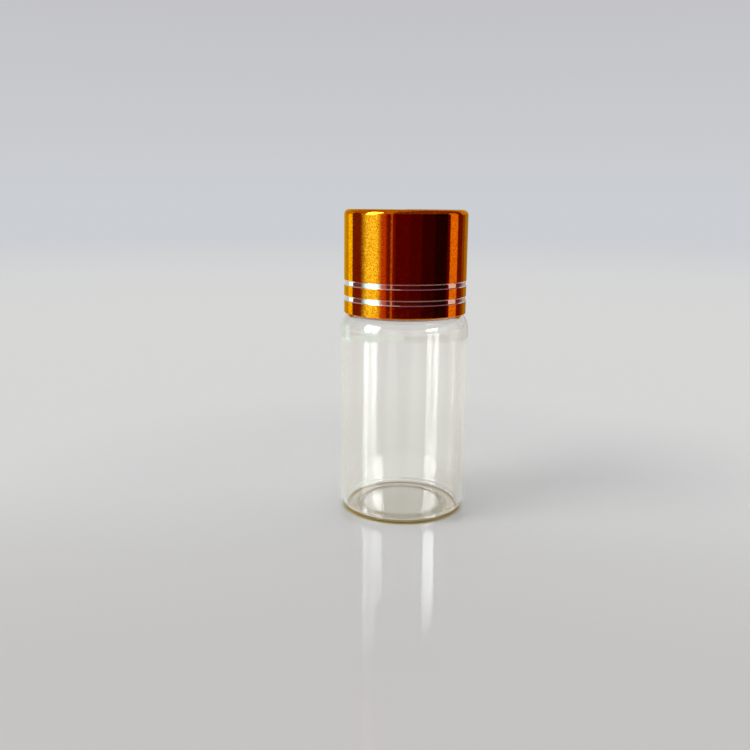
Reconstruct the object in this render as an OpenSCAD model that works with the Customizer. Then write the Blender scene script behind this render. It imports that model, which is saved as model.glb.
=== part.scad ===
// Screw-capped glass sample vial: a drawn glass tube with a threaded neck, closed by an anodised
// aluminium cap with a moulded threaded liner cap and a soft sealing disc inside it.
// Frame: millimetres, +Z up along the axis of the tube, origin at the middle of the standing ring.

/* [Glass tube] */
// Outside diameter of the tube
tube_d = 22; // [21.6:0.1:24]
// Height of the glass, from its standing ring to its lip
glass_h = 50; // [45:1:70]
// Thickness of the tube's wall
wall_t = 1.0; // [0.8:0.1:1.2]
// Thickness of the glass across the bottom
floor_t = 0.6; // [0.5:0.1:1.2]
// Rise of the bottom at its middle
bottom_rise = 0.5; // [0.4:0.1:0.8]
// Outside rounding at the foot of the tube
heel_r = 1.8; // [0.8:0.1:2.2]
// Inside rounding at the foot of the tube
corner_r = 0.6; // [0.4:0.05:1.2]
// Inside diameter of the flat ring that the glass stands on
stand_d = 14.8; // [13:0.1:16.4]
// Width of the flat ring that the glass stands on
stand_w = 0.7; // [0.5:0.1:1]
// Slope of the underside, from the standing ring out to the foot's rounding, in degrees
heel_slope = 3; // [1:0.5:6]

/* [Shoulder and neck] */
// Depth from the lip down to where the shoulder starts to turn in
shoulder_drop = 17.8; // [17.4:0.1:19]
// Outside rounding of the shoulder
shoulder_r = 3.4; // [3.2:0.1:3.6]
// Angle through which the shoulder turns before it sweeps up into the neck
shoulder_turn = 75; // [70:1:80]
// Outside diameter of the neck, at the foot of its thread
neck_d = 15.6; // [15.4:0.1:15.8]
// Diameter of the bore through the neck
bore_d = 13; // [12:0.1:13.2]
// Rounding of the lip's two edges
lip_r = 0.4; // [0.2:0.05:0.5]

/* [Screw thread] */
// Rise of the thread in one turn
pitch = 3.175; // [3.1:0.025:3.3]
// Diameter over the crest of the glass thread
thread_d = 17.8; // [17.4:0.1:17.8]
// Width of the glass thread at its foot
thread_foot_w = 2.1; // [1.8:0.1:2.1]
// Width of the glass thread at its crest
thread_crest_w = 0.9; // [0.7:0.1:0.9]
// Number of turns of the glass thread
glass_turns = 1.5; // [1.25:0.05:1.75]
// Number of turns of the cap's thread
cap_turns = 1.8; // [1.5:0.05:2]
// Depth from the lip down to the middle of the glass thread's last turn
thread_drop = 2.6; // [2.4:0.1:3]

/* [Aluminium cap] */
// Outside diameter of the cap
cap_d = 21; // [21:0.1:21.4]
// Height of the cap
cap_h = 17.4; // [17:0.1:17.4]
// Thickness of the aluminium
shell_t = 0.4; // [0.3:0.05:0.4]
// Rounding of the cap's top edge
crown_r = 0.9; // [0.6:0.1:1.2]
// Rounding of the cap's lower edge
hem_r = 0.15; // [0.05:0.01:0.15]
// Height of the lower bright ring above the cap's lower edge
low_ring_h = 2.6; // [2:0.1:4]
// Height of the upper bright ring above the lower one
ring_step = 2.6; // [1.5:0.1:4]
// Width of each bright ring
ring_w = 0.9; // [0.5:0.1:1.2]
// Depth to which each bright ring is cut
ring_cut = 0.12; // [0.05:0.01:0.15]
// Width of each slanted side of the cut
ring_slant = 0.13; // [0.05:0.01:0.2]

/* [Threaded liner cap] */
// Thickness of the liner cap's skirt
skirt_t = 0.75; // [0.7:0.05:0.75]
// Thickness of the liner cap's top
plate_t = 0.88; // [0.7:0.02:1.2]
// Height that the liner cap's skirt stops short of the cap's lower edge
skirt_recess = 0.7; // [0.6:0.1:2]
// Number of gripping ribs around the skirt
rib_count = 24; // [12:4:36]
// Radius of each gripping rib
rib_r = 0.25; // [0.2:0.05:0.3]
// Bite of each rib's crest into the aluminium
rib_bite = 0.02; // [0.01:0.01:0.03]

/* [Sealing disc] */
// Diameter of the sealing disc
disc_d = 18; // [17:0.1:18]
// Thickness of the sealing disc
disc_t = 0.86; // [0.6:0.02:1.2]

/* [Hidden] */
$fn = 96;

// Gap left between faces that rest on each other
seat_gap = 0.02;
// Steps in each rounded corner, in each domed face and in one turn of the thread
arc_steps = 8;
dome_steps = 6;
turn_steps = 48;
// Angle over which a thread grows from nothing to its full height
fade_angle = 45;
// Depth to which a thread's foot is sunk in its wall, and its height there where it starts
thread_sink = 0.3;
thread_stub = 0.12;
// Room between the crest of one thread and the foot of the other
thread_room = 0.25;
// Width and height of the step from the domed bottom down to the standing ring
foot_w = 0.45;
foot_drop = 0.35;

tube_r = tube_d / 2;
inner_r = tube_r - wall_t;
neck_r = neck_d / 2;
bore_r = bore_d / 2;
thread_r = thread_d / 2;
shoulder_z = glass_h - shoulder_drop;
shoulder_x = tube_r - shoulder_r;
turn_in = 1 - cos(shoulder_turn);

// Sweeps from the shoulder into the neck, outside and inside
outer_sweep_r = (tube_r - neck_r) / turn_in - shoulder_r;
inner_sweep_r = (inner_r - bore_r) / turn_in - (shoulder_r - wall_t);
outer_sweep_z = shoulder_z + (shoulder_r + outer_sweep_r) * sin(shoulder_turn);
inner_sweep_z = shoulder_z + (shoulder_r - wall_t + inner_sweep_r) * sin(shoulder_turn);

// The stack above the lip: disc, liner cap's top, aluminium
disc_z = glass_h + seat_gap;
plate_z = disc_z + disc_t + seat_gap;
ceiling_z = plate_z + plate_t + seat_gap;
cap_top = ceiling_z + shell_t;
cap_foot = cap_top - cap_h;
cap_r = cap_d / 2;
shell_r = cap_r - shell_t;
shell_corner_r = crown_r - shell_t;

liner_r = shell_r - rib_r + 0.05;
liner_inner_r = liner_r - skirt_t;
liner_foot = cap_foot + skirt_recess;
liner_edge = 0.5;
liner_crest_r = neck_r + thread_room + 0.1;

// Foot half-widths at the sunk root, from the slope of the flanks
flank = (thread_foot_w - thread_crest_w) / 2 / (thread_r - neck_r);
glass_foot_w = thread_foot_w / 2 + flank * thread_sink;
liner_tip_w = thread_crest_w / 2 + 0.05;
liner_foot_w = liner_tip_w + flank * (liner_inner_r + thread_sink - liner_crest_r);
glass_thread_z = glass_h - thread_drop - glass_turns * pitch;
liner_thread_z = glass_thread_z - pitch / 2;

glass_tint = [0.86, 0.92, 0.90, 0.45];
gold_tint = [0.84, 0.46, 0.10];
plastic_tint = [0.93, 0.93, 0.91];
foam_tint = [0.97, 0.97, 0.95];

// Points along an arc about c, from angle a to angle b
function arc(c, r, a, b, n = arc_steps) =
    [for (i = [0:n]) let (t = a + (b - a) * i / n) c + r * [cos(t), sin(t)]];

// Points along a shallow dome from the axis at height top to the radius edge, lower by rise
function dome(edge, top, rise) =
    let (r = (edge * edge + rise * rise) / (2 * rise))
    arc([0, top - r], r, 90, 90 - asin(edge / r), dome_steps);

function backwards(p) = [for (i = [len(p) - 1:-1:0]) p[i]];

// Share of its full height that a thread has at angle t out of a whole of all degrees
function grown(t, all) = min(1, t / fade_angle, (all - t) / fade_angle);

// One four-cornered section of a thread at angle t, in the order nearer the axis, then further out
function section(t, z, near, near_w, far, far_w) =
    [for (p = [[near, -near_w], [far, -far_w], [far, far_w], [near, near_w]])
        [p[0] * cos(t), p[0] * sin(t), z + p[1]]];

// A thread ridge from z_start, rising to the right as it turns. It is rooted at foot and grows
// to tip, which is further from the axis on the glass and nearer to it in the cap.
module ridge(z_start, turns, foot, foot_w, tip, tip_w) {
    all = turns * 360;
    n = round(turns * turn_steps);
    way = tip > foot ? 1 : -1;
    depth = abs(tip - foot);
    rings = [for (i = [0:n])
        let (t = all * i / n)
        let (z = z_start + pitch * t / 360)
        let (r = foot + way * (thread_stub + (depth - thread_stub) * grown(t, all)))
        way > 0 ? section(t, z, foot, foot_w, r, tip_w) : section(t, z, r, tip_w, foot, foot_w)];
    sides = [for (i = [0:n - 1])
        for (k = [0:3])
            let (a = 4 * i + k)
            let (b = 4 * i + (k + 1) % 4)
            each [[a, b, b + 4], [a, b + 4, a + 4]]];
    ends = [[0, 3, 2], [0, 2, 1], [4 * n, 4 * n + 1, 4 * n + 2], [4 * n, 4 * n + 2, 4 * n + 3]];
    polyhedron(points = [for (ring = rings) each ring], faces = concat(sides, ends), convexity = 6);
}

// The glass from its underside, out and up to the lip, and back down the inside to its floor
module glass_outline() {
    stand_r = stand_d / 2;
    ring_r = stand_r + stand_w;
    floor_r = inner_r - corner_r;
    heel_x = tube_r - heel_r;
    heel_z = (heel_x + heel_r * sin(heel_slope) - ring_r) * tan(heel_slope) + heel_r * cos(heel_slope);
    polygon(concat(
        dome(stand_r - foot_w, bottom_rise, bottom_rise - foot_drop),
        [[stand_r, 0], [ring_r, 0]],
        arc([heel_x, heel_z], heel_r, heel_slope - 90, 0),
        arc([shoulder_x, shoulder_z], shoulder_r, 0, shoulder_turn),
        arc([neck_r + outer_sweep_r, outer_sweep_z], outer_sweep_r, 180 + shoulder_turn, 180),
        arc([neck_r - lip_r, glass_h - lip_r], lip_r, 0, 90),
        arc([bore_r + lip_r, glass_h - lip_r], lip_r, 90, 180),
        arc([bore_r + inner_sweep_r, inner_sweep_z], inner_sweep_r, 180, 180 + shoulder_turn),
        arc([shoulder_x, shoulder_z], shoulder_r - wall_t, shoulder_turn, 0),
        arc([floor_r, floor_t + corner_r], corner_r, 0, -90),
        backwards(dome(floor_r, floor_t + bottom_rise, bottom_rise))
    ));
}

module glass_vial() {
    color(glass_tint) union() {
        rotate_extrude() glass_outline();
        ridge(glass_thread_z, glass_turns, neck_r - thread_sink, glass_foot_w,
            thread_r, thread_crest_w / 2);
    }
}

// A shallow flat-bottomed cut with slanted sides in the cap's outside, centred at height z
function ring_cut_points(z) =
    let (half = ring_w / 2)
    let (flat = half - ring_slant)
    let (floor_r = cap_r - ring_cut)
    [[cap_r, z - half], [floor_r, z - flat], [floor_r, z + flat], [cap_r, z + half]];

module cap_shell() {
    low_ring = cap_foot + low_ring_h;
    color(gold_tint) rotate_extrude() polygon(concat(
        [[shell_r, cap_foot + hem_r]],
        arc([shell_r + hem_r, cap_foot + hem_r], hem_r, 180, 270),
        arc([cap_r - hem_r, cap_foot + hem_r], hem_r, -90, 0),
        ring_cut_points(low_ring),
        ring_cut_points(low_ring + ring_step),
        arc([cap_r - crown_r, cap_top - crown_r], crown_r, 0, 90),
        [[0, cap_top], [0, ceiling_z]],
        arc([cap_r - crown_r, cap_top - crown_r], shell_corner_r, 90, 0)
    ));
}

module inner_cap() {
    rib_h = plate_z - liner_foot - liner_edge;
    color(plastic_tint) union() {
        rotate_extrude() polygon([
            [liner_inner_r, liner_foot],
            [liner_r, liner_foot],
            [liner_r, plate_z + plate_t - liner_edge],
            [liner_r - liner_edge, plate_z + plate_t],
            [0, plate_z + plate_t],
            [0, plate_z],
            [liner_inner_r, plate_z]
        ]);
        for (i = [0:rib_count - 1])
            rotate(360 * i / rib_count)
                translate([shell_r + rib_bite - rib_r, 0, liner_foot + liner_edge])
                    cylinder(r = rib_r, h = rib_h);
        ridge(liner_thread_z, cap_turns, liner_inner_r + thread_sink, liner_foot_w,
            liner_crest_r, liner_tip_w);
    }
}

module sealing_disc() {
    color(foam_tint) translate([0, 0, disc_z]) cylinder(d = disc_d, h = disc_t);
}

glass_vial();
cap_shell();
inner_cap();
sealing_disc();
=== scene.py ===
"""Looks of a screw-capped glass sample vial with a copper-gold cap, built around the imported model."""

import logging
import math
from collections.abc import Callable, Sequence
from dataclasses import dataclass
from enum import Enum

import bpy
from mathutils import Matrix, Vector


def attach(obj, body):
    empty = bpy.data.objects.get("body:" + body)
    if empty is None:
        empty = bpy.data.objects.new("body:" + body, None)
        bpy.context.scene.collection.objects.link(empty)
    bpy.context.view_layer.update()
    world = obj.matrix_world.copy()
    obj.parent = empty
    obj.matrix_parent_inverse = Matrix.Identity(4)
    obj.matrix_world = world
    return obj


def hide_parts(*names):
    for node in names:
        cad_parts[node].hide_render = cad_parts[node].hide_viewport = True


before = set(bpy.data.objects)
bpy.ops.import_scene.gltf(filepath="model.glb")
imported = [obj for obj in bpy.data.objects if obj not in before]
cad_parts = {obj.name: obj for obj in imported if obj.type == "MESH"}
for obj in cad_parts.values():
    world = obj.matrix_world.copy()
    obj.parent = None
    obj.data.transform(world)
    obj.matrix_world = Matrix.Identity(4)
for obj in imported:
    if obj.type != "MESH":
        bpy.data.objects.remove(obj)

LOG = logging.getLogger("vial")
MM = 0.001
TURN = 2 * math.pi
# Closest that two points of a profile lie, and closest to the axis that a ring stays open. Millimetres.
SAME_POINT = 1e-5
ON_AXIS = 1e-6

Point = tuple[float, float]
Colour = tuple[float, float, float]
Spread = tuple[float, float, float]


class Body(Enum):
    """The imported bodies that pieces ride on."""

    VIAL = "vial"
    SEAL = "seal"
    CAP = "cap"


class Slot(Enum):
    """The record's material slots that the built pieces stand for."""

    GLASS = "clear_glass"
    GOLD = "gold_aluminium"
    FOAM = "foam_disc"


class SeenBy(Enum):
    """Which rays meet a stage object: the camera's, light's own, those off gloss, and those out of glass."""

    EYE_ONLY = ("camera", "diffuse")
    EYE_AND_GLASS = ("camera", "diffuse", "shadow", "transmission")
    GLOSS_ONLY = ("glossy",)
    GLOSS_AND_GLASS = ("glossy", "transmission", "shadow")


# ---------------------------------------------------------------- profiles


def arc(centre: Point, radius: float, start: float, end: float, steps: int) -> list[Point]:
    """Points along an arc.

    Args:
        centre: Middle of the arc, as radius and height.
        radius: Radius of the arc.
        start: Angle of its first point, in degrees.
        end: Angle of its last point, in degrees.
        steps: Number of steps from the first point to the last.

    Returns:
        The arc's points, one more than its steps.
    """
    angles = [math.radians(start + (end - start) * i / steps) for i in range(steps + 1)]
    return [(centre[0] + radius * math.cos(a), centre[1] + radius * math.sin(a)) for a in angles]


def dome(edge: float, top: float, rise: float, steps: int) -> list[Point]:
    """Points along a shallow dome, from the axis out to its edge.

    Args:
        edge: Radius at which the dome ends.
        top: Height of the dome on the axis.
        rise: How much lower its edge is.
        steps: Number of steps from the axis to the edge.

    Returns:
        The dome's points.
    """
    radius = (edge * edge + rise * rise) / (2 * rise)
    tilt = math.degrees(math.asin(edge / radius))
    return arc((0.0, top - radius), radius, 90.0, 90.0 - tilt, steps)


def eased(points: Sequence[Point], longest: float, guard: float) -> list[Point]:
    """Drops doubled points and splits long straight runs, so that smooth shading stays true.

    Each split run has a guard point close to each of its ends.

    Args:
        points: The profile's corner and arc points.
        longest: Longest step that is left whole.
        guard: Distance of the guard points from the ends of a run.

    Returns:
        The profile without doubled points and with its long runs split.
    """
    clean = [p for i, p in enumerate(points) if i == 0 or math.dist(p, points[i - 1]) > SAME_POINT]
    out = [clean[0]]
    for a, b in zip(clean, clean[1:]):
        gap = math.dist(a, b)
        if gap > longest:
            cuts = max(1, math.ceil((gap - 2 * guard) / longest))
            shares = [guard + (gap - 2 * guard) * k / cuts for k in range(cuts + 1)]
            out += [(a[0] + (b[0] - a[0]) * s / gap, a[1] + (b[1] - a[1]) * s / gap) for s in shares]
        out.append(b)
    return out


def smooth_step(x: float) -> float:
    """A share from 0 to 1 that leaves and arrives gently."""
    x = min(1.0, max(0.0, x))
    return x * x * (3 - 2 * x)


@dataclass(frozen=True)
class Thread:
    """A right-handed screw ridge on a round wall, in millimetres."""

    start_z: float
    pitch: float
    turns: float
    depth: float
    foot_w: float
    crest_w: float
    fade: float = 45.0

    def height_at(self, turn: float, z: float) -> float:
        """How far the ridge stands from its wall.

        Args:
            turn: Angle round the axis, in turns from 0 to 1.
            z: Height.

        Returns:
            The ridge's height there, 0 away from it.
        """
        best = 0.0
        for lap in range(math.ceil(self.turns) + 1):
            along = turn + lap
            if along > self.turns:
                break
            off = abs(z - self.start_z - self.pitch * along)
            slope = (self.foot_w - self.crest_w) / 2
            across = smooth_step((self.foot_w / 2 - off) / slope)
            grown = smooth_step(min(along, self.turns - along) * 360 / self.fade)
            best = max(best, self.depth * across * grown)
        return best


@dataclass
class Turned:
    """A piece turned about the upright axis from a profile, in millimetres."""

    name: str
    profile: list[Point]
    closed: bool = False
    segments: int = 256
    radius_at: Callable[[int, float, Point], float] | None = None

    def build(self) -> bpy.types.Object:
        """Turns the profile into a closed mesh.

        Returns:
            The mesh object, in metres, standing in the model's frame.
        """
        verts: list[tuple[float, float, float]] = []
        rings: list[list[int]] = []
        for row, point in enumerate(self.profile):
            if point[0] < ON_AXIS:
                rings.append([len(verts)] * self.segments)
                verts.append((0.0, 0.0, point[1] * MM))
                continue
            rings.append(list(range(len(verts), len(verts) + self.segments)))
            for k in range(self.segments):
                turn = k / self.segments
                r = self.radius_at(row, turn, point) if self.radius_at else point[0]
                a = TURN * turn
                verts.append((r * math.cos(a) * MM, r * math.sin(a) * MM, point[1] * MM))
        faces: list[tuple[int, ...]] = []
        steps = len(rings) if self.closed else len(rings) - 1
        for row in range(steps):
            low, high = rings[row], rings[(row + 1) % len(rings)]
            for k in range(self.segments):
                n = (k + 1) % self.segments
                corner = dict.fromkeys((low[k], low[n], high[n], high[k]))
                if len(corner) > 2:
                    faces.append(tuple(corner))
        mesh = bpy.data.meshes.new(self.name)
        mesh.from_pydata(verts, [], faces)
        mesh.polygons.foreach_set("use_smooth", [True] * len(faces))
        mesh.update()
        obj = bpy.data.objects.new(self.name, mesh)
        bpy.context.scene.collection.objects.link(obj)
        return obj


# ---------------------------------------------------------------- finishes


class Graph:
    """A material's node tree with short ways to add and join nodes."""

    def __init__(self, name: str) -> None:
        """Makes an empty material with its output node.

        Args:
            name: Name of the material.
        """
        self.material = bpy.data.materials.new(name)
        self.material.use_nodes = True
        self.tree = self.material.node_tree
        self.tree.nodes.clear()
        self.out = self.tree.nodes.new("ShaderNodeOutputMaterial")

    def add(self, kind: str, **values: object) -> bpy.types.Node:
        """Adds a node.

        Args:
            kind: Blender's name of the node type.
            **values: Node settings, or input values where no setting has that name.

        Returns:
            The new node.
        """
        node = self.tree.nodes.new(kind)
        for key, value in values.items():
            if hasattr(node, key):
                setattr(node, key, value)
            else:
                node.inputs[key.replace("_", " ")].default_value = value
        return node

    def join(self, source: bpy.types.NodeSocket, node: bpy.types.Node, entry: str | int) -> None:
        """Links an output to a node's input."""
        self.tree.links.new(source, node.inputs[entry])

    def noise(self, scale: float, stretch: Spread = (1.0, 1.0, 1.0),
              detail: float = 3.0) -> bpy.types.NodeSocket:
        """Adds noise in the piece's own coordinates.

        Args:
            scale: Number of noise cells in a metre.
            stretch: Factor on the coordinates along X, Y and Z.
            detail: Octaves of finer noise.

        Returns:
            The noise value's socket.
        """
        place = self.add("ShaderNodeTexCoord").outputs["Object"]
        fit = self.add("ShaderNodeMapping", Scale=stretch)
        self.join(place, fit, "Vector")
        grain = self.add("ShaderNodeTexNoise", Scale=scale, Detail=detail)
        self.join(fit.outputs["Vector"], grain, "Vector")
        return grain.outputs["Fac"]

    def ranged(self, source: bpy.types.NodeSocket, low: float, high: float,
               start: float = 0.3, stop: float = 0.7, gentle: bool = False) -> bpy.types.NodeSocket:
        """Maps a value from start..stop to low..high.

        Args:
            source: The value's socket.
            low: Result at start.
            high: Result at stop.
            start: Value that gives low.
            stop: Value that gives high.
            gentle: Whether the result leaves and arrives gently.

        Returns:
            The mapped value's socket.
        """
        node = self.add("ShaderNodeMapRange", interpolation_type="SMOOTHSTEP" if gentle else "LINEAR")
        for entry, value in zip(("From Min", "From Max", "To Min", "To Max"), (start, stop, low, high)):
            node.inputs[entry].default_value = value
        self.join(source, node, "Value")
        return node.outputs["Result"]

    def blend(self, source: bpy.types.NodeSocket, first: Colour, second: Colour) -> bpy.types.NodeSocket:
        """Blends two colours by a value.

        Args:
            source: The value's socket.
            first: Colour at 0.
            second: Colour at 1.

        Returns:
            The blended colour's socket.
        """
        node = self.add("ShaderNodeMix", data_type="RGBA")
        for socket, colour in zip((s for s in node.inputs if s.type == "RGBA"), (first, second)):
            socket.default_value = (*colour, 1.0)
        self.join(source, node, "Factor")
        return next(s for s in node.outputs if s.type == "RGBA")

    def bump(self, source: bpy.types.NodeSocket, height: float, under: bpy.types.NodeSocket | None = None,
             strength: float = 1.0) -> bpy.types.NodeSocket:
        """Turns a value into surface relief.

        Args:
            source: The value's socket.
            height: Height of the relief, in metres.
            under: Normal that the relief is laid on.
            strength: Share of the relief's effect.

        Returns:
            The normal's socket.
        """
        node = self.add("ShaderNodeBump", Strength=strength, Distance=height)
        self.join(source, node, "Height")
        if under:
            self.join(under, node, "Normal")
        return node.outputs["Normal"]

    def grains(self, cells: float) -> bpy.types.Node:
        """Splits the surface into small cells, each with a colour of its own at random.

        Args:
            cells: Number of cells in a metre.

        Returns:
            The node that gives the random colours.
        """
        cell = self.add("ShaderNodeTexVoronoi", Scale=cells)
        self.join(self.add("ShaderNodeTexCoord").outputs["Object"], cell, "Vector")
        return cell

    def leaning(self, grain: bpy.types.Node, tilt: float) -> bpy.types.NodeSocket:
        """Tilts each grain of the surface its own way.

        Args:
            grain: The node that gives the grains their random colours.
            tilt: Greatest tilt, as the tangent of its angle.

        Returns:
            The normal's socket.
        """
        lean = self.add("ShaderNodeVectorMath", operation="SUBTRACT")
        self.join(grain.outputs["Color"], lean, 0)
        lean.inputs[1].default_value = (0.5, 0.5, 0.5)
        sized = self.add("ShaderNodeVectorMath", operation="SCALE", Scale=2 * tilt)
        self.join(lean.outputs[0], sized, 0)
        leant = self.add("ShaderNodeVectorMath", operation="ADD")
        self.join(self.add("ShaderNodeNewGeometry").outputs["Normal"], leant, 0)
        self.join(sized.outputs[0], leant, 1)
        unit = self.add("ShaderNodeVectorMath", operation="NORMALIZE")
        self.join(leant.outputs[0], unit, 0)
        return unit.outputs[0]

    def finish(self, shader: bpy.types.Node) -> bpy.types.Material:
        """Joins the shader to the output and gives the material."""
        self.join(shader.outputs[0], self.out, "Surface")
        return self.material


@dataclass(frozen=True)
class ClearGlass:
    """Clear drawn glass with the faint waves that drawing leaves."""

    tint: Colour = (1.0, 1.0, 1.0)
    index: float = 1.5
    wave_cells: float = 130.0
    wave_stretch: Spread = (1.0, 1.0, 0.45)
    wave_height: float = 0.000006
    line_cells: float = 900.0
    line_stretch: Spread = (1.0, 1.0, 0.04)
    line_height: float = 0.0000004
    depth_tint: Colour = (0.86, 0.68, 0.28)
    depth: float = 60.0

    def material(self) -> bpy.types.Material:
        """Makes the glass."""
        g = Graph("clear_glass")
        shader = g.add("ShaderNodeBsdfPrincipled", Base_Color=(*self.tint, 1.0), Roughness=0.0,
                       IOR=self.index, Transmission_Weight=1.0)
        waves = g.bump(g.noise(self.wave_cells, self.wave_stretch, detail=1.0), self.wave_height)
        lines = g.bump(g.noise(self.line_cells, self.line_stretch, detail=1.0), self.line_height, waves)
        g.join(lines, shader, "Normal")
        body = g.add("ShaderNodeVolumeAbsorption", Color=(*self.depth_tint, 1.0), Density=self.depth)
        g.join(body.outputs[0], g.out, "Volume")
        return g.finish(shader)


@dataclass(frozen=True)
class AnodisedGold:
    """Copper-gold anodised aluminium: dyed metal with a mirror-like skin and a fine sparkling grain."""

    tint: Colour = (1.0, 0.315, 0.012)
    deep_tint: Colour = (0.70, 0.110, 0.001)
    edge_tint: Colour = (1.0, 0.80, 0.22)
    smooth: float = 0.05
    satin: float = 0.11
    grain_cells: float = 6500.0
    grain_tilt: float = 0.004
    lit_grains: Point = (0.1, 0.95)
    satin_grains: Point = (0.5, 0.9)

    def material(self) -> bpy.types.Material:
        """Makes the anodised metal."""
        g = Graph("gold_aluminium")
        shader = g.add("ShaderNodeBsdfPrincipled", Metallic=1.0)
        shader.inputs["Specular Tint"].default_value = (*self.edge_tint, 1.0)
        grain = g.grains(self.grain_cells)
        parts = g.add("ShaderNodeSeparateColor")
        g.join(grain.outputs["Color"], parts, 0)
        share = g.ranged(parts.outputs["Red"], 0.0, 1.0, *self.lit_grains)
        g.join(g.blend(share, self.deep_tint, self.tint), shader, "Base Color")
        satin = g.ranged(parts.outputs["Green"], self.smooth, self.satin, *self.satin_grains)
        g.join(satin, shader, "Roughness")
        g.join(g.leaning(grain, self.grain_tilt), shader, "Normal")
        return g.finish(shader)


@dataclass(frozen=True)
class BrightCut:
    """Bare aluminium left by a turning tool, with fine rings round it."""

    tint: Colour = (0.94, 0.77, 0.77)
    dull_tint: Colour = (0.82, 0.67, 0.67)
    ring_cells: float = 9000.0
    ring_stretch: Spread = (0.03, 0.03, 1.0)
    ring_height: float = 0.0000001
    polish: Point = (0.03, 0.06)

    def material(self) -> bpy.types.Material:
        """Makes the bare metal."""
        g = Graph("bright_cut_aluminium")
        shader = g.add("ShaderNodeBsdfPrincipled", Metallic=1.0)
        rings = g.noise(self.ring_cells, self.ring_stretch, detail=2.0)
        g.join(g.blend(g.ranged(rings, 0.0, 1.0), self.dull_tint, self.tint), shader, "Base Color")
        g.join(g.ranged(rings, *self.polish), shader, "Roughness")
        g.join(g.bump(rings, self.ring_height), shader, "Normal")
        return g.finish(shader)


@dataclass(frozen=True)
class MouldedPlastic:
    """Natural moulded plastic, slightly milky, with the mould's fine texture."""

    index: float = 1.49
    tint: Colour = (0.84, 0.84, 0.81)
    shade_tint: Colour = (0.76, 0.76, 0.73)
    mottle_cells: float = 260.0
    skin_cells: float = 5200.0
    skin_height: float = 0.000004
    polish: Point = (0.32, 0.5)
    milk: float = 0.15
    milk_depth: float = 0.0006

    def material(self) -> bpy.types.Material:
        """Makes the plastic."""
        g = Graph("white_plastic")
        shader = g.add("ShaderNodeBsdfPrincipled", IOR=self.index)
        shader.inputs["Subsurface Weight"].default_value = self.milk
        shader.inputs["Subsurface Scale"].default_value = self.milk_depth
        mottle = g.noise(self.mottle_cells)
        skin = g.noise(self.skin_cells)
        g.join(g.blend(g.ranged(mottle, 0.0, 1.0), self.shade_tint, self.tint), shader, "Base Color")
        g.join(g.ranged(skin, *self.polish), shader, "Roughness")
        g.join(g.bump(skin, self.skin_height), shader, "Normal")
        return g.finish(shader)


@dataclass(frozen=True)
class FacedFoam:
    """Soft white foam with a pressed face and fine cells at its edge."""

    index: float = 1.45
    tint: Colour = (0.90, 0.90, 0.88)
    cell_tint: Colour = (0.80, 0.80, 0.77)
    cells: float = 4200.0
    cell_height: float = 0.00002
    cell_edge: Point = (0.1, 0.6)
    polish: Point = (0.7, 0.5)

    def material(self) -> bpy.types.Material:
        """Makes the foam."""
        g = Graph("foam_disc")
        shader = g.add("ShaderNodeBsdfPrincipled", IOR=self.index)
        reach = g.grains(self.cells).outputs["Distance"]
        share = g.ranged(reach, 0.0, 1.0, *self.cell_edge)
        g.join(g.blend(share, self.cell_tint, self.tint), shader, "Base Color")
        g.join(g.ranged(reach, *self.polish, *self.cell_edge), shader, "Roughness")
        g.join(g.bump(reach, self.cell_height, strength=0.6), shader, "Normal")
        return g.finish(shader)


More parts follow.
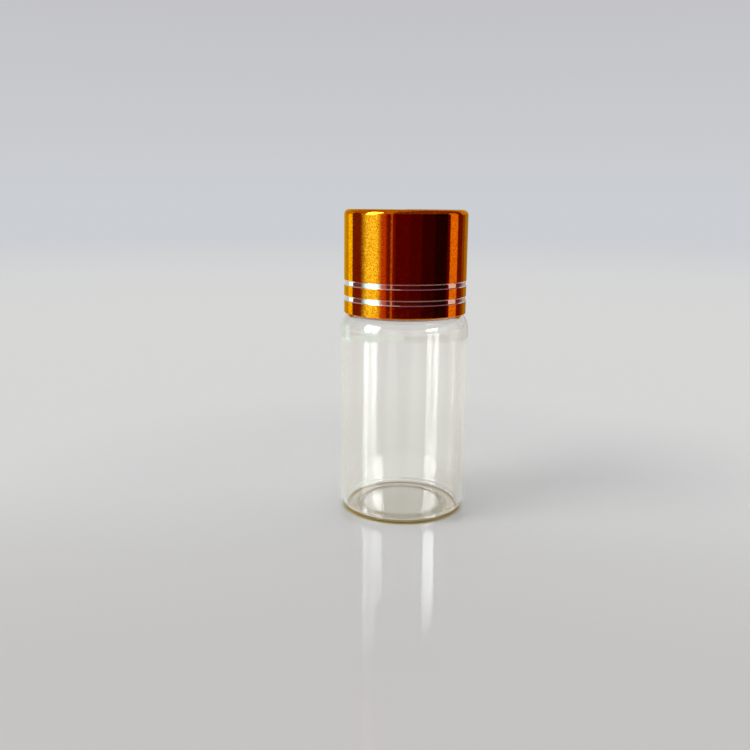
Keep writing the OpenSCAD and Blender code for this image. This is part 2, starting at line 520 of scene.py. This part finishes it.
@dataclass(frozen=True)
class PaleTable:
    """Pale lacquered table top with painted light and shade: lighter toward the back, and the painted shadow
    of the glass's foot on it.
    """

    # The table's pale colour, darker at the front and lighter toward the back: a painted light falloff for
    # how the light falls on it
    near: Colour = (0.800, 0.785, 0.745)
    far: Colour = (0.955, 0.955, 0.918)
    sheen: float = 0.14
    near_sheen: float = 0.003
    sheen_start: Point = (-0.056, -0.024)
    roughness: float = 0.03
    mirror_index: float = 1.45
    # Strength of the mirrored table's painted glow, which brightens what is seen through the glass
    painted_glow: float = 0.11
    painted_light_falloff: Point = (-0.062, 0.012)
    sheen_end: Point = (0.045, 0.10)
    fade: Point = (0.25, 1.2)
    painted_shade_r: float = 0.0125
    # Radius and colour of the painted shade under the glass's foot: its painted shadow on the table, in light
    # and dark rings
    painted_foot_shade: tuple[tuple[float, Colour], ...] = (
        (0.0, (0.86, 0.83, 0.76)),
        (0.0066, (0.92, 0.90, 0.86)),
        (0.0072, (0.70, 0.66, 0.52)),
        (0.0079, (0.70, 0.66, 0.52)),
        (0.0083, (0.92, 0.90, 0.84)),
        (0.0090, (0.90, 0.87, 0.78)),
        (0.0098, (0.58, 0.40, 0.08)),
        (0.0102, (0.60, 0.44, 0.12)),
        (0.0107, (0.86, 0.83, 0.70)),
        (0.0112, (1.0, 1.0, 1.0)),
    )

    def reach(self, g: Graph) -> bpy.types.NodeSocket:
        """Adds the distance from the table's middle.

        Args:
            g: The material's graph.

        Returns:
            The distance's socket, in metres.
        """
        reach = g.add("ShaderNodeVectorMath", operation="LENGTH")
        g.join(g.add("ShaderNodeTexCoord").outputs["Object"], reach, 0)
        return reach.outputs["Value"]

    def depth(self, g: Graph) -> bpy.types.NodeSocket:
        """Adds the distance behind the table's middle.

        Args:
            g: The material's graph.

        Returns:
            The distance's socket, in metres.
        """
        parts = g.add("ShaderNodeSeparateXYZ")
        g.join(g.add("ShaderNodeTexCoord").outputs["Object"], parts, 0)
        return parts.outputs["Y"]

    def matt(self, g: Graph) -> bpy.types.Node:
        """Adds the table's matt coat.

        Args:
            g: The material's graph.

        Returns:
            The coat's shader.
        """
        flat = g.add("ShaderNodeBsdfDiffuse")
        g.join(self.colour(g), flat, "Color")
        return flat

    def colour(self, g: Graph) -> bpy.types.NodeSocket:
        """Adds the table's colour, with its painted light and shade: lighter toward the back, and the painted
        shadow under the glass's foot.

        Args:
            g: The material's graph.

        Returns:
            The colour's socket.
        """
        # Painted light: the table grows lighter toward the back
        top = g.blend(g.ranged(self.depth(g), 0.0, 1.0, *self.painted_light_falloff, True), self.near, self.far)
        # Painted shadow: rings under the glass's foot darken the table's colour
        shade = g.add("ShaderNodeValToRGB")
        stops = shade.color_ramp.elements
        while len(stops) < len(self.painted_foot_shade):
            stops.new(1.0)
        for stop, (radius, colour) in zip(stops, self.painted_foot_shade):
            stop.position = radius / self.painted_shade_r
            stop.color = (*colour, 1.0)
        g.join(g.ranged(self.reach(g), 0.0, 1.0, 0.0, self.painted_shade_r), shade, "Fac")
        both = g.add("ShaderNodeMix", data_type="RGBA", blend_type="MULTIPLY")
        both.inputs["Factor"].default_value = 1.0
        first, second = (socket for socket in both.inputs if socket.type == "RGBA")
        g.tree.links.new(top, first)
        g.tree.links.new(shade.outputs["Color"], second)
        return next(socket for socket in both.outputs if socket.type == "RGBA")

    def seen(self, name: str) -> bpy.types.Material:
        """Makes the finish that the camera sees, with a slight gloss that fades away from the vial.

        Args:
            name: Name of the material.

        Returns:
            The material.
        """
        g = Graph(name)
        gloss = g.add("ShaderNodeBsdfGlossy", Roughness=self.roughness)
        share = g.add("ShaderNodeMath", operation="MULTIPLY")
        g.join(g.ranged(self.depth(g), self.near_sheen, self.sheen, *self.sheen_start), share, 0)
        g.join(g.ranged(self.reach(g), 1.0, 0.0, *self.sheen_end, True), share, 1)
        both = g.add("ShaderNodeMixShader")
        g.join(share.outputs["Value"], both, "Fac")
        g.join(self.matt(g).outputs[0], both, 1)
        g.join(gloss.outputs[0], both, 2)
        return g.finish(both)

    def mirror(self, name: str) -> bpy.types.Material:
        """Makes the finish that the vial mirrors, with lacquer's full gloss and a painted glow, a little
        light of its own.

        Args:
            name: Name of the material.

        Returns:
            The material.
        """
        g = Graph(name)
        shader = g.add("ShaderNodeBsdfPrincipled", Roughness=self.roughness, IOR=self.mirror_index)
        colour = self.colour(g)
        g.join(colour, shader, "Base Color")
        # Painted glow: the table gives off light of its own, in its own colour
        g.join(colour, shader, "Emission Color")
        shader.inputs["Emission Strength"].default_value = self.painted_glow
        return g.finish(shader)

    def fading(self, name: str) -> bpy.types.Material:
        """Makes the finish of the ground, which fades into the air.

        Args:
            name: Name of the material.

        Returns:
            The material.
        """
        g = Graph(name)
        both = g.add("ShaderNodeMixShader")
        g.join(g.ranged(self.reach(g), 0.0, 1.0, *self.fade, True), both, "Fac")
        g.join(self.matt(g).outputs[0], both, 1)
        g.join(g.add("ShaderNodeBsdfTransparent").outputs[0], both, 2)
        return g.finish(both)


@dataclass(frozen=True)
class Glow:
    """An even light or dark panel."""

    colour: Colour
    strength: float

    def material(self, name: str) -> bpy.types.Material:
        """Makes the panel's finish.

        Args:
            name: Name of the material.

        Returns:
            The material.
        """
        g = Graph(name)
        return g.finish(g.add("ShaderNodeEmission", Color=(*self.colour, 1.0), Strength=self.strength))


# ---------------------------------------------------------------- the vial


def dress(obj: bpy.types.Object, body: Body, slot: Slot, replaced: str | None,
          *materials: bpy.types.Material) -> bpy.types.Object:
    """Gives a piece its finishes and puts it on its body.

    Args:
        obj: The piece.
        body: Body that it rides on.
        slot: Record slot that its finish stands for; not used.
        replaced: CAD node that it stands for.
        *materials: Its finishes, in the order of its material slots.

    Returns:
        The piece.
    """
    obj.data.materials.clear()
    for material in materials:
        obj.data.materials.append(material)
    if replaced:
        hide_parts(replaced)
    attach(obj, body.value)
    LOG.info("%s: %d faces, on body %s", obj.name, len(obj.data.polygons), body.value)
    return obj


@dataclass
class GlassVial:
    """The glass: a drawn tube with a domed foot, a turned-in shoulder and a threaded neck. Millimetres."""

    tube_r: float = 11.0
    wall: float = 1.0
    floor_t: float = 0.6
    rise: float = 0.5
    heel_r: float = 1.8
    corner_r: float = 0.6
    stand_r: float = 7.4
    stand_w: float = 0.7
    foot_drop: float = 0.35
    foot_w: float = 0.45
    heel_slope: float = 3.0
    height: float = 50.0
    shoulder_z: float = 32.2
    shoulder_r: float = 3.4
    shoulder_turn: float = 75.0
    neck_r: float = 7.8
    bore_r: float = 6.5
    lip_r: float = 0.4
    steps: int = 16
    longest_step: float = 3.0
    guard: float = 0.12
    neck_step: float = 0.13
    same_r: float = 0.0001
    thread: Thread = Thread(start_z=42.6375, pitch=3.175, turns=1.5, depth=1.1, foot_w=2.1, crest_w=0.9)

    def outline(self) -> list[Point]:
        """The glass's profile, from its underside out, up over the lip and back down to the inner floor.

        Returns:
            The profile's points.
        """
        n = self.steps
        inner_r = self.tube_r - self.wall
        shoulder_x = self.tube_r - self.shoulder_r
        turn_in = 1 - math.cos(math.radians(self.shoulder_turn))
        up = math.sin(math.radians(self.shoulder_turn))
        sweep = (self.tube_r - self.neck_r) / turn_in - self.shoulder_r
        inner_shoulder = self.shoulder_r - self.wall
        inner_sweep = (inner_r - self.bore_r) / turn_in - inner_shoulder
        sweep_z = self.shoulder_z + (self.shoulder_r + sweep) * up
        inner_sweep_z = self.shoulder_z + (inner_shoulder + inner_sweep) * up
        lip_z = self.height - self.lip_r
        foot_r = inner_r - self.corner_r
        back = 180.0 + self.shoulder_turn
        slope = math.radians(self.heel_slope)
        heel_x = self.tube_r - self.heel_r
        run = heel_x + self.heel_r * math.sin(slope) - self.stand_r - self.stand_w
        heel_z = run * math.tan(slope) + self.heel_r * math.cos(slope)
        points = dome(self.stand_r - self.foot_w, self.rise, self.rise - self.foot_drop, n)
        points += [(self.stand_r, 0.0), (self.stand_r + self.stand_w, 0.0)]
        points += arc((heel_x, heel_z), self.heel_r, self.heel_slope - 90, 0, n)
        points += arc((shoulder_x, self.shoulder_z), self.shoulder_r, 0, self.shoulder_turn, 2 * n)
        points += arc((self.neck_r + sweep, sweep_z), sweep, back, 180, n)
        points += arc((self.neck_r - self.lip_r, lip_z), self.lip_r, 0, 90, n // 2)
        points += arc((self.bore_r + self.lip_r, lip_z), self.lip_r, 90, 180, n // 2)
        points += arc((self.bore_r + inner_sweep, inner_sweep_z), inner_sweep, 180, back, n)
        points += arc((shoulder_x, self.shoulder_z), inner_shoulder, self.shoulder_turn, 0, 2 * n)
        points += arc((foot_r, self.floor_t + self.corner_r), self.corner_r, 0, -90, n)
        points += dome(foot_r, self.floor_t + self.rise, self.rise, n)[::-1]
        return self.neck_rows(eased(points, self.longest_step, self.guard))

    def on_neck(self, point: Point) -> bool:
        """Whether a point of the profile lies on the outside of the neck."""
        return abs(point[0] - self.neck_r) < self.same_r

    def neck_rows(self, points: list[Point]) -> list[Point]:
        """Adds close rows up the outside of the neck, where the thread stands.

        Args:
            points: The profile.

        Returns:
            The profile with its neck filled in.
        """
        out: list[Point] = []
        for a, b in zip(points, points[1:]):
            out.append(a)
            if self.on_neck(a) and self.on_neck(b) and b[1] - a[1] > self.neck_step:
                rows = math.ceil((b[1] - a[1]) / self.neck_step)
                out += [(self.neck_r, a[1] + (b[1] - a[1]) * k / rows) for k in range(1, rows)]
        return out + [points[-1]]

    def threaded(self, _row: int, turn: float, point: Point) -> float:
        """Radius of the glass at a place round its profile, thread included."""
        ridge = self.thread.height_at(turn, point[1]) if self.on_neck(point) else 0.0
        return point[0] + ridge

    def build(self) -> list[bpy.types.Object]:
        """Builds the glass."""
        glass = Turned("vial_glass", self.outline(), radius_at=self.threaded).build()
        return [dress(glass, Body.VIAL, Slot.GLASS, "glass_vial", ClearGlass().material())]


@dataclass
class ScrewCap:
    """The cap: anodised shell with two bright cut rings, threaded liner and soft disc. Millimetres."""

    radius: float = 10.5
    foot: float = 34.8
    top: float = 52.2
    metal: float = 0.4
    crown_r: float = 0.9
    hem_r: float = 0.15
    ring_low: float = 2.6
    ring_step: float = 2.6
    ring_w: float = 0.9
    ring_cut: float = 0.12
    ring_slant: float = 0.13
    ring_inlay: float = 0.05
    ring_guard: float = 0.012
    steps: int = 12
    segments: int = 288
    longest_step: float = 0.35
    guard: float = 0.02
    disc_r: float = 9.0
    disc_z: float = 50.02
    disc_t: float = 0.86
    disc_edge_r: float = 0.22
    disc_steps: int = 6
    disc_segments: int = 160
    disc_longest_step: float = 1.5
    disc_guard: float = 0.06

    def ring_heights(self) -> list[float]:
        """Heights of the two bright rings."""
        low = self.foot + self.ring_low
        return [low, low + self.ring_step]

    def cut(self, z: float, deeper: float = 0.0) -> list[Point]:
        """Flat-bottomed cut with slanted sides in the cap's outside, from its lower edge up.

        Args:
            z: Height of the cut's middle.
            deeper: How much further in the cut's floor lies.

        Returns:
            The cut's points.
        """
        half, floor_r = self.ring_w / 2, self.radius - self.ring_cut - deeper
        flat, guard = half - self.ring_slant, self.ring_guard
        side = self.ring_cut / self.ring_slant
        points = [(self.radius, -half), (self.radius - side * guard, -half + guard)]
        points += [(floor_r + side * guard, -flat - guard), (floor_r, -flat), (floor_r, -flat + guard)]
        points = [(r - (0 if k > 1 else deeper), h) for k, (r, h) in enumerate(points)]
        both = points + [(r, -h) for r, h in points[::-1]]
        return [(r, z + h) for r, h in both]

    def shell_outline(self) -> list[Point]:
        """The shell's profile, a closed line from its inner hem, up the outside and back down the inside.

        Returns:
            The profile's points.
        """
        inner_r = self.radius - self.metal
        corner = self.crown_r - self.metal
        n = self.steps
        points = arc((inner_r + self.hem_r, self.foot + self.hem_r), self.hem_r, 180, 270, n // 2)
        points += arc((self.radius - self.hem_r, self.foot + self.hem_r), self.hem_r, -90, 0, n // 2)
        for z in self.ring_heights():
            points += [(self.radius, z - self.ring_w / 2)]
            points += self.cut(z, self.ring_inlay)
            points += [(self.radius, z + self.ring_w / 2)]
        points += arc((self.radius - self.crown_r, self.top - self.crown_r), self.crown_r, 0, 90, 2 * n)
        points += [(0.0, self.top), (0.0, self.top - self.metal)]
        points += arc((self.radius - self.crown_r, self.top - self.crown_r), corner, 90, 0, n)
        points += [(inner_r, self.foot + self.hem_r)]
        return eased(points, self.longest_step, self.guard)

    def shell(self) -> bpy.types.Object:
        """Builds the anodised shell."""
        return Turned("cap_shell_skin", self.shell_outline(), segments=self.segments).build()

    def ring(self, name: str, z: float) -> bpy.types.Object:
        """Builds one bright ring, which lines its cut.

        Args:
            name: Name of the piece.
            z: Height of its middle.

        Returns:
            The ring.
        """
        face = self.cut(z)
        back = self.cut(z, 2 * self.ring_inlay)[::-1]
        return Turned(name, face + back, closed=True, segments=self.segments).build()

    def disc(self) -> bpy.types.Object:
        """Builds the soft sealing disc, with its edges pressed round."""
        edge, n = self.disc_edge_r, self.disc_steps
        low, high = self.disc_z, self.disc_z + self.disc_t
        points = [(0.0, low), (self.disc_r / 2, low)]
        points += arc((self.disc_r - edge, low + edge), edge, -90, 0, n)
        points += arc((self.disc_r - edge, high - edge), edge, 0, 90, n)
        points += [(self.disc_r / 2, high), (0.0, high)]
        outline = eased(points, self.disc_longest_step, self.disc_guard)
        return Turned("sealing_foam", outline, segments=self.disc_segments).build()

    def build(self) -> list[bpy.types.Object]:
        """Builds the cap's pieces and dresses them."""
        gold, bright = AnodisedGold().material(), BrightCut().material()
        pieces = [dress(self.shell(), Body.CAP, Slot.GOLD, "cap_shell", gold)]
        for name, z in zip(("bright_ring_lower", "bright_ring_upper"), self.ring_heights()):
            pieces.append(dress(self.ring(name, z), Body.CAP, Slot.GOLD, None, bright))
        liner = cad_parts["inner_cap"]
        liner.data.materials.clear()
        liner.data.materials.append(MouldedPlastic().material())
        LOG.info("%s: the packed mesh, on body %s", liner.name, Body.CAP.value)
        pieces.append(liner)
        pieces.append(dress(self.disc(), Body.SEAL, Slot.FOAM, "sealing_disc", FacedFoam().material()))
        return pieces


# ---------------------------------------------------------------- the studio


@dataclass(frozen=True)
class Panel:
    """An upright curved panel round the vial. Angles in degrees, azimuth 0 to the camera, positive right."""

    name: str
    start: float
    end: float
    low: float
    high: float
    glow: Glow


@dataclass(frozen=True)
class Pane:
    """A soft lamp that stands for a pane of the window or a part of the room. Angles in degrees."""

    name: str
    across: Point
    upright: Point
    radiance: float


@dataclass
class Studio:
    """Table, surround, lights and camera."""

    reach: float = 1.2
    panel_step: float = 3.0
    table_r: float = 0.194
    ground_r: float = 6.0
    floor_steps: int = 128
    drop: float = 0.00003
    mirror_drop: float = 0.000036
    air: Colour = (0.600, 0.620, 0.650)
    air_above: Colour = (0.550, 0.550, 0.572)
    air_top: float = 0.22
    daylight: Colour = (0.95, 0.985, 1.0)
    key_power: float = 0.85
    key_spread: float = 36.0
    key_way: Point = (-66.0, 36.0)
    room_glow: float = 0.78
    eye: Spread = (0.0, -0.14005, 0.05283)
    yaw: float = -0.0359
    pitch: float = 0.2062
    roll: float = 0.0088
    lens: float = 38.97
    sensor: float = 36.0
    sight: Point = (0.002, 20.0)
    bounces: int = 40
    clear_bounces: int = 32

    def panels(self) -> list[Panel]:
        """The surround's light and dark parts, as the cap and the glass mirror them.

        Returns:
            The panels.
        """
        def lit(red: float, green: float | None = None, blue: float | None = None) -> Glow:
            """An even panel, neutral unless its green and blue are given too."""
            return Glow((red, red if green is None else green, red if blue is None else blue), 1.0)

        low, sill, eye, head, top = -16.0, -7.4, 8.0, 28.0, 85.0
        dark, pane, dim = lit(0.17, 0.04, 0.03), lit(1.12, 2.15, 1.8), lit(0.53, 0.20, 0.12)
        return [
            Panel("wall_left", -180, -131, low, eye, lit(0.60, 0.72, 0.60)),
            Panel("strip_far_left", -131, -115, low, eye, lit(1.05, 1.75, 1.7)),
            Panel("dark_left", -115, -92, low, head, dark),
            Panel("below_window", -92, -43, low, sill, lit(0.10)),
            *self.fade("window_far", (-92, -70), (sill, eye), dark, pane, 7),
            Panel("window", -70, -56, sill, eye, pane),
            *self.fade("window_near", (-56, -43), (sill, eye), pane, dim, 5),
            Panel("dim_left", -43, -37, low, head, lit(0.50, 0.15, 0.10)),
            *self.fade("frame", (-37, -32), (low, head), lit(0.45, 0.09, 0.06), lit(0.13, 0.02, 0.01), 3),
            Panel("dark_frame", -32, -27, low, head, lit(0.13, 0.02, 0.01)),
            Panel("slit", -27, -23.4, low, head, lit(0.52, 0.24, 0.19)),
            Panel("beside_slit", -23.4, -18, low, head, lit(0.15, 0.014, 0.01)),
            Panel("room", -18, 8, low, head, lit(0.085, 0.002, 0.002)),
            Panel("room_middle", 8, 30, low, head, lit(0.062, 0.002, 0.002)),
            Panel("room_far", 30, 55, low, head, lit(0.030, 0.001, 0.001)),
            Panel("room_corner", 55, 82, low, head, lit(0.012, 0.001, 0.001)),
            Panel("beside_strip", 82, 89, low, head, lit(0.09, 0.003, 0.002)),
            Panel("strip_right", 89, 110, low, head, lit(0.82, 0.54, 0.40)),
            Panel("dark_right", 110, 127, low, head, lit(0.14, 0.02, 0.02)),
            Panel("wall_right_near", 127, 138, low, eye, lit(0.24, 0.14, 0.1)),
            Panel("wall_right", 138, 180, low, eye, lit(0.40, 0.38, 0.36)),
            Panel("above_left", -145, -25, head, top, lit(0.45, 0.36, 0.30)),
            Panel("above_right", -25, 145, head, top, lit(0.19, 0.08, 0.10)),
            Panel("above_back", 145, 215, head + 10, top, lit(0.45, 0.40, 0.36)),
        ]

    def fade(self, name: str, across: Point, upright: Point, first: Glow, last: Glow,
             count: int) -> list[Panel]:
        """Lays panels side by side that lead from one brightness to another.

        Args:
            name: Their common name.
            across: Azimuths of the run's two edges, in degrees.
            upright: Elevations of its lower and upper edge, in degrees.
            first: Glow that the run starts from.
            last: Glow that it leads to.
            count: Number of panels.

        Returns:
            The panels.
        """
        out: list[Panel] = []
        width = (across[1] - across[0]) / count
        for k in range(count):
            share = smooth_step((k + 0.5) / count)
            colour = tuple(a + (b - a) * share for a, b in zip(first.colour, last.colour))
            start = across[0] + k * width
            out.append(Panel(f"{name}_{k}", start, start + width, *upright, Glow(colour, 1.0)))
        return out

    def raise_panel(self, panel: Panel) -> bpy.types.Object:
        """Builds one curved panel.

        Args:
            panel: What to build.

        Returns:
            The panel.
        """
        steps = max(2, math.ceil((panel.end - panel.start) / self.panel_step))
        verts = []
        for k in range(steps + 1):
            a = math.radians(panel.start + (panel.end - panel.start) * k / steps)
            for tilt in (panel.low, panel.high):
                z = self.reach * math.tan(math.radians(tilt))
                verts.append((self.reach * math.sin(a), -self.reach * math.cos(a), z))
        faces = [(2 * k, 2 * k + 1, 2 * k + 3, 2 * k + 2) for k in range(steps)]
        return self.place(panel.name, verts, faces, panel.glow.material(panel.name), SeenBy.GLOSS_ONLY)

    def ring_of_floor(self, name: str, inner: float, outer: float, z: float, finish: bpy.types.Material,
                      seen: SeenBy) -> bpy.types.Object:
        """Builds a flat ring or disc of table.

        Args:
            name: Name of the piece of floor.
            inner: Inner radius, 0 for a disc.
            outer: Outer radius.
            z: Height.
            finish: Its finish.
            seen: Which rays meet it.

        Returns:
            The piece of floor.
        """
        steps = self.floor_steps
        verts, faces = [], []
        for k in range(steps):
            a = TURN * k / steps
            verts += [(r * math.cos(a), r * math.sin(a), z) for r in (inner, outer)]
            n = (k + 1) % steps
            faces.append((2 * k, 2 * k + 1, 2 * n + 1, 2 * n))
        return self.place(name, verts, faces, finish, seen)

    def place(self, name: str, verts: list[tuple[float, float, float]], faces: list[tuple[int, ...]],
              finish: bpy.types.Material, seen: SeenBy) -> bpy.types.Object:
        """Makes a stage object.

        Args:
            name: Its name.
            verts: Its points.
            faces: Its faces.
            finish: Its finish.
            seen: Which rays meet it.

        Returns:
            The stage object.
        """
        mesh = bpy.data.meshes.new(name)
        mesh.from_pydata(verts, [], faces)
        mesh.materials.append(finish)
        obj = bpy.data.objects.new(name, mesh)
        bpy.context.scene.collection.objects.link(obj)
        for ray in ("camera", "diffuse", "glossy", "transmission", "shadow"):
            setattr(obj, f"visible_{ray}", ray in seen.value)
        obj.visible_volume_scatter = False
        return obj

    def toward(self, azimuth: float, tilt: float) -> Vector:
        """Direction from the vial at an azimuth and an elevation in degrees."""
        a, e = math.radians(azimuth), math.radians(tilt)
        return Vector((math.sin(a) * math.cos(e), -math.cos(a) * math.cos(e), math.sin(e)))

    def lamp(self, light: bpy.types.Light, way: Vector, hidden: tuple[str, ...]) -> bpy.types.Object:
        """Hangs a lamp that faces the vial.

        Args:
            light: What the lamp gives.
            way: Direction from the vial to the lamp.
            hidden: Rays that don't meet it.

        Returns:
            The lamp.
        """
        obj = bpy.data.objects.new(light.name, light)
        bpy.context.scene.collection.objects.link(obj)
        obj.location = way * self.reach
        obj.rotation_euler = way.to_track_quat("Z", "Y").to_euler()
        for ray in hidden:
            setattr(obj, f"visible_{ray}", False)
        return obj

    def hang(self, pane: Pane, group: bpy.types.Collection) -> None:
        """Hangs one pane, which only one group of objects sees.

        Args:
            pane: What to hang.
            group: The objects that see it.
        """
        light = bpy.data.lights.new(pane.name, "AREA")
        light.shape = "RECTANGLE"
        spans = (pane.across, pane.upright)
        width, tall = (2 * self.reach * math.tan(math.radians(b - a) / 2) for a, b in spans)
        light.size, light.size_y = width, tall
        light.energy = pane.radiance * 4 * width * tall
        light.color = self.daylight
        way = self.toward(sum(pane.across) / 2, sum(pane.upright) / 2)
        self.lamp(light, way, ("camera", "diffuse")).light_linking.receiver_collection = group

    def group(self, name: str, members: list[bpy.types.Object]) -> bpy.types.Collection:
        """Makes a collection that lamps can be linked to.

        Args:
            name: Its name.
            members: Its objects.

        Returns:
            The collection.
        """
        group = bpy.data.collections.new(name)
        for obj in members:
            group.objects.link(obj)
        return group

    def lights(self, pieces: list[bpy.types.Object], mirror: bpy.types.Object) -> None:
        """Hangs the window's panes and the room's glow, apart for the glass and the metal, and the key light.

        Args:
            pieces: The vial's pieces, the glass first.
            mirror: The table that the vial mirrors.
        """
        clear = self.group("seen_by_glass", [pieces[0], mirror])
        metal = self.group("seen_by_cap", pieces[1:])
        glass = self.group("seen_by_vial", pieces[:1])
        far, near = (-77.0, -66.6), (-62.6, -50.5)
        high, low, whole = (8.0, 36.0), (-6.5, 8.0), (-14.0, 28.0)
        self.hang(Pane("pane_far", far, high, 13.0), clear)
        self.hang(Pane("pane_low_far", far, low, 9.0), clear)
        self.hang(Pane("pane_near", near, high, 9.75), clear)
        self.hang(Pane("pane_low_near", near, low, 6.75), clear)
        self.hang(Pane("pane_metal", (-78.0, -56.0), (8.0, 50.0), 15.0), metal)
        self.hang(Pane("pane_across", (44.0, 64.0), (18.0, 30.0), 15.0), glass)
        for k, across in enumerate(((-44.0, 0.0), (2.0, 46.0), (48.0, 92.0))):
            self.hang(Pane(f"room_{k}", across, whole, self.room_glow), clear)
        key = bpy.data.lights.new("key", "SUN")
        key.energy, key.angle = self.key_power, math.radians(self.key_spread)
        self.lamp(key, self.toward(*self.key_way), ("camera", "glossy", "transmission"))

    def air_light(self) -> None:
        """Fills the space around with even pale light."""
        world = bpy.data.worlds.new("pale_air")
        world.use_nodes = True
        tree = world.node_tree
        place = tree.nodes.new("ShaderNodeTexCoord")
        parts = tree.nodes.new("ShaderNodeSeparateXYZ")
        fade = tree.nodes.new("ShaderNodeValToRGB")
        fade.color_ramp.elements[0].position = 0.0
        fade.color_ramp.elements[0].color = (*self.air, 1.0)
        fade.color_ramp.elements[1].position = self.air_top
        fade.color_ramp.elements[1].color = (*self.air_above, 1.0)
        tree.links.new(place.outputs["Generated"], parts.inputs[0])
        tree.links.new(parts.outputs["Z"], fade.inputs["Fac"])
        tree.links.new(fade.outputs["Color"], tree.nodes["Background"].inputs["Color"])
        bpy.context.scene.world = world

    def camera(self) -> bpy.types.Object:
        """Sets up the camera.

        Returns:
            The camera.
        """
        data = bpy.data.cameras.new("camera")
        data.sensor_width, data.lens = self.sensor, self.lens
        data.clip_start, data.clip_end = self.sight
        cam = bpy.data.objects.new("camera", data)
        bpy.context.scene.collection.objects.link(cam)
        right = Vector((math.cos(self.yaw), -math.sin(self.yaw), 0.0))
        level = Vector((math.sin(self.yaw), math.cos(self.yaw), 0.0))
        ahead = level * math.cos(self.pitch) - Vector((0.0, 0.0, math.sin(self.pitch)))
        up = right.cross(ahead)
        turned_right = right * math.cos(self.roll) + up * math.sin(self.roll)
        turned_up = up * math.cos(self.roll) - right * math.sin(self.roll)
        axes = Matrix((turned_right, turned_up, -ahead)).transposed()
        cam.matrix_world = Matrix.Translation(self.eye) @ axes.to_4x4()
        bpy.context.scene.camera = cam
        return cam

    def build(self, pieces: list[bpy.types.Object]) -> None:
        """Sets the whole studio up around the vial.

        Args:
            pieces: The vial's pieces, the glass first.
        """
        table = PaleTable()
        top = table.seen("pale_table")
        self.ring_of_floor("table", 0.0, self.table_r, -self.drop, top, SeenBy.EYE_ONLY)
        mirror = self.ring_of_floor("table_mirror", 0.0, self.table_r, -self.mirror_drop,
                                    table.mirror("pale_table_mirror"), SeenBy.GLOSS_AND_GLASS)
        ground = table.fading("pale_ground")
        self.ring_of_floor("ground", self.table_r, self.ground_r, -self.drop, ground, SeenBy.EYE_AND_GLASS)
        for panel in self.panels():
            self.raise_panel(panel)
        self.lights(pieces, mirror)
        self.air_light()
        self.camera()
        scene = bpy.context.scene
        scene.view_settings.view_transform = "Standard"
        scene.cycles.caustics_reflective = False
        scene.cycles.sample_clamp_indirect = 0.0
        scene.cycles.max_bounces = self.bounces
        scene.cycles.glossy_bounces = self.clear_bounces
        scene.cycles.transmission_bounces = self.clear_bounces


def main() -> None:
    """Builds the vial, the cap and the studio."""
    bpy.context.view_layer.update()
    pieces: list[bpy.types.Object] = []
    for part in (GlassVial(), ScrewCap()):
        pieces += part.build()
        LOG.info("%s done", type(part).__name__)
    Studio().build(pieces)


if __name__ == "__main__":
    logging.basicConfig(level=logging.INFO, format="%(name)s %(message)s")
    main()
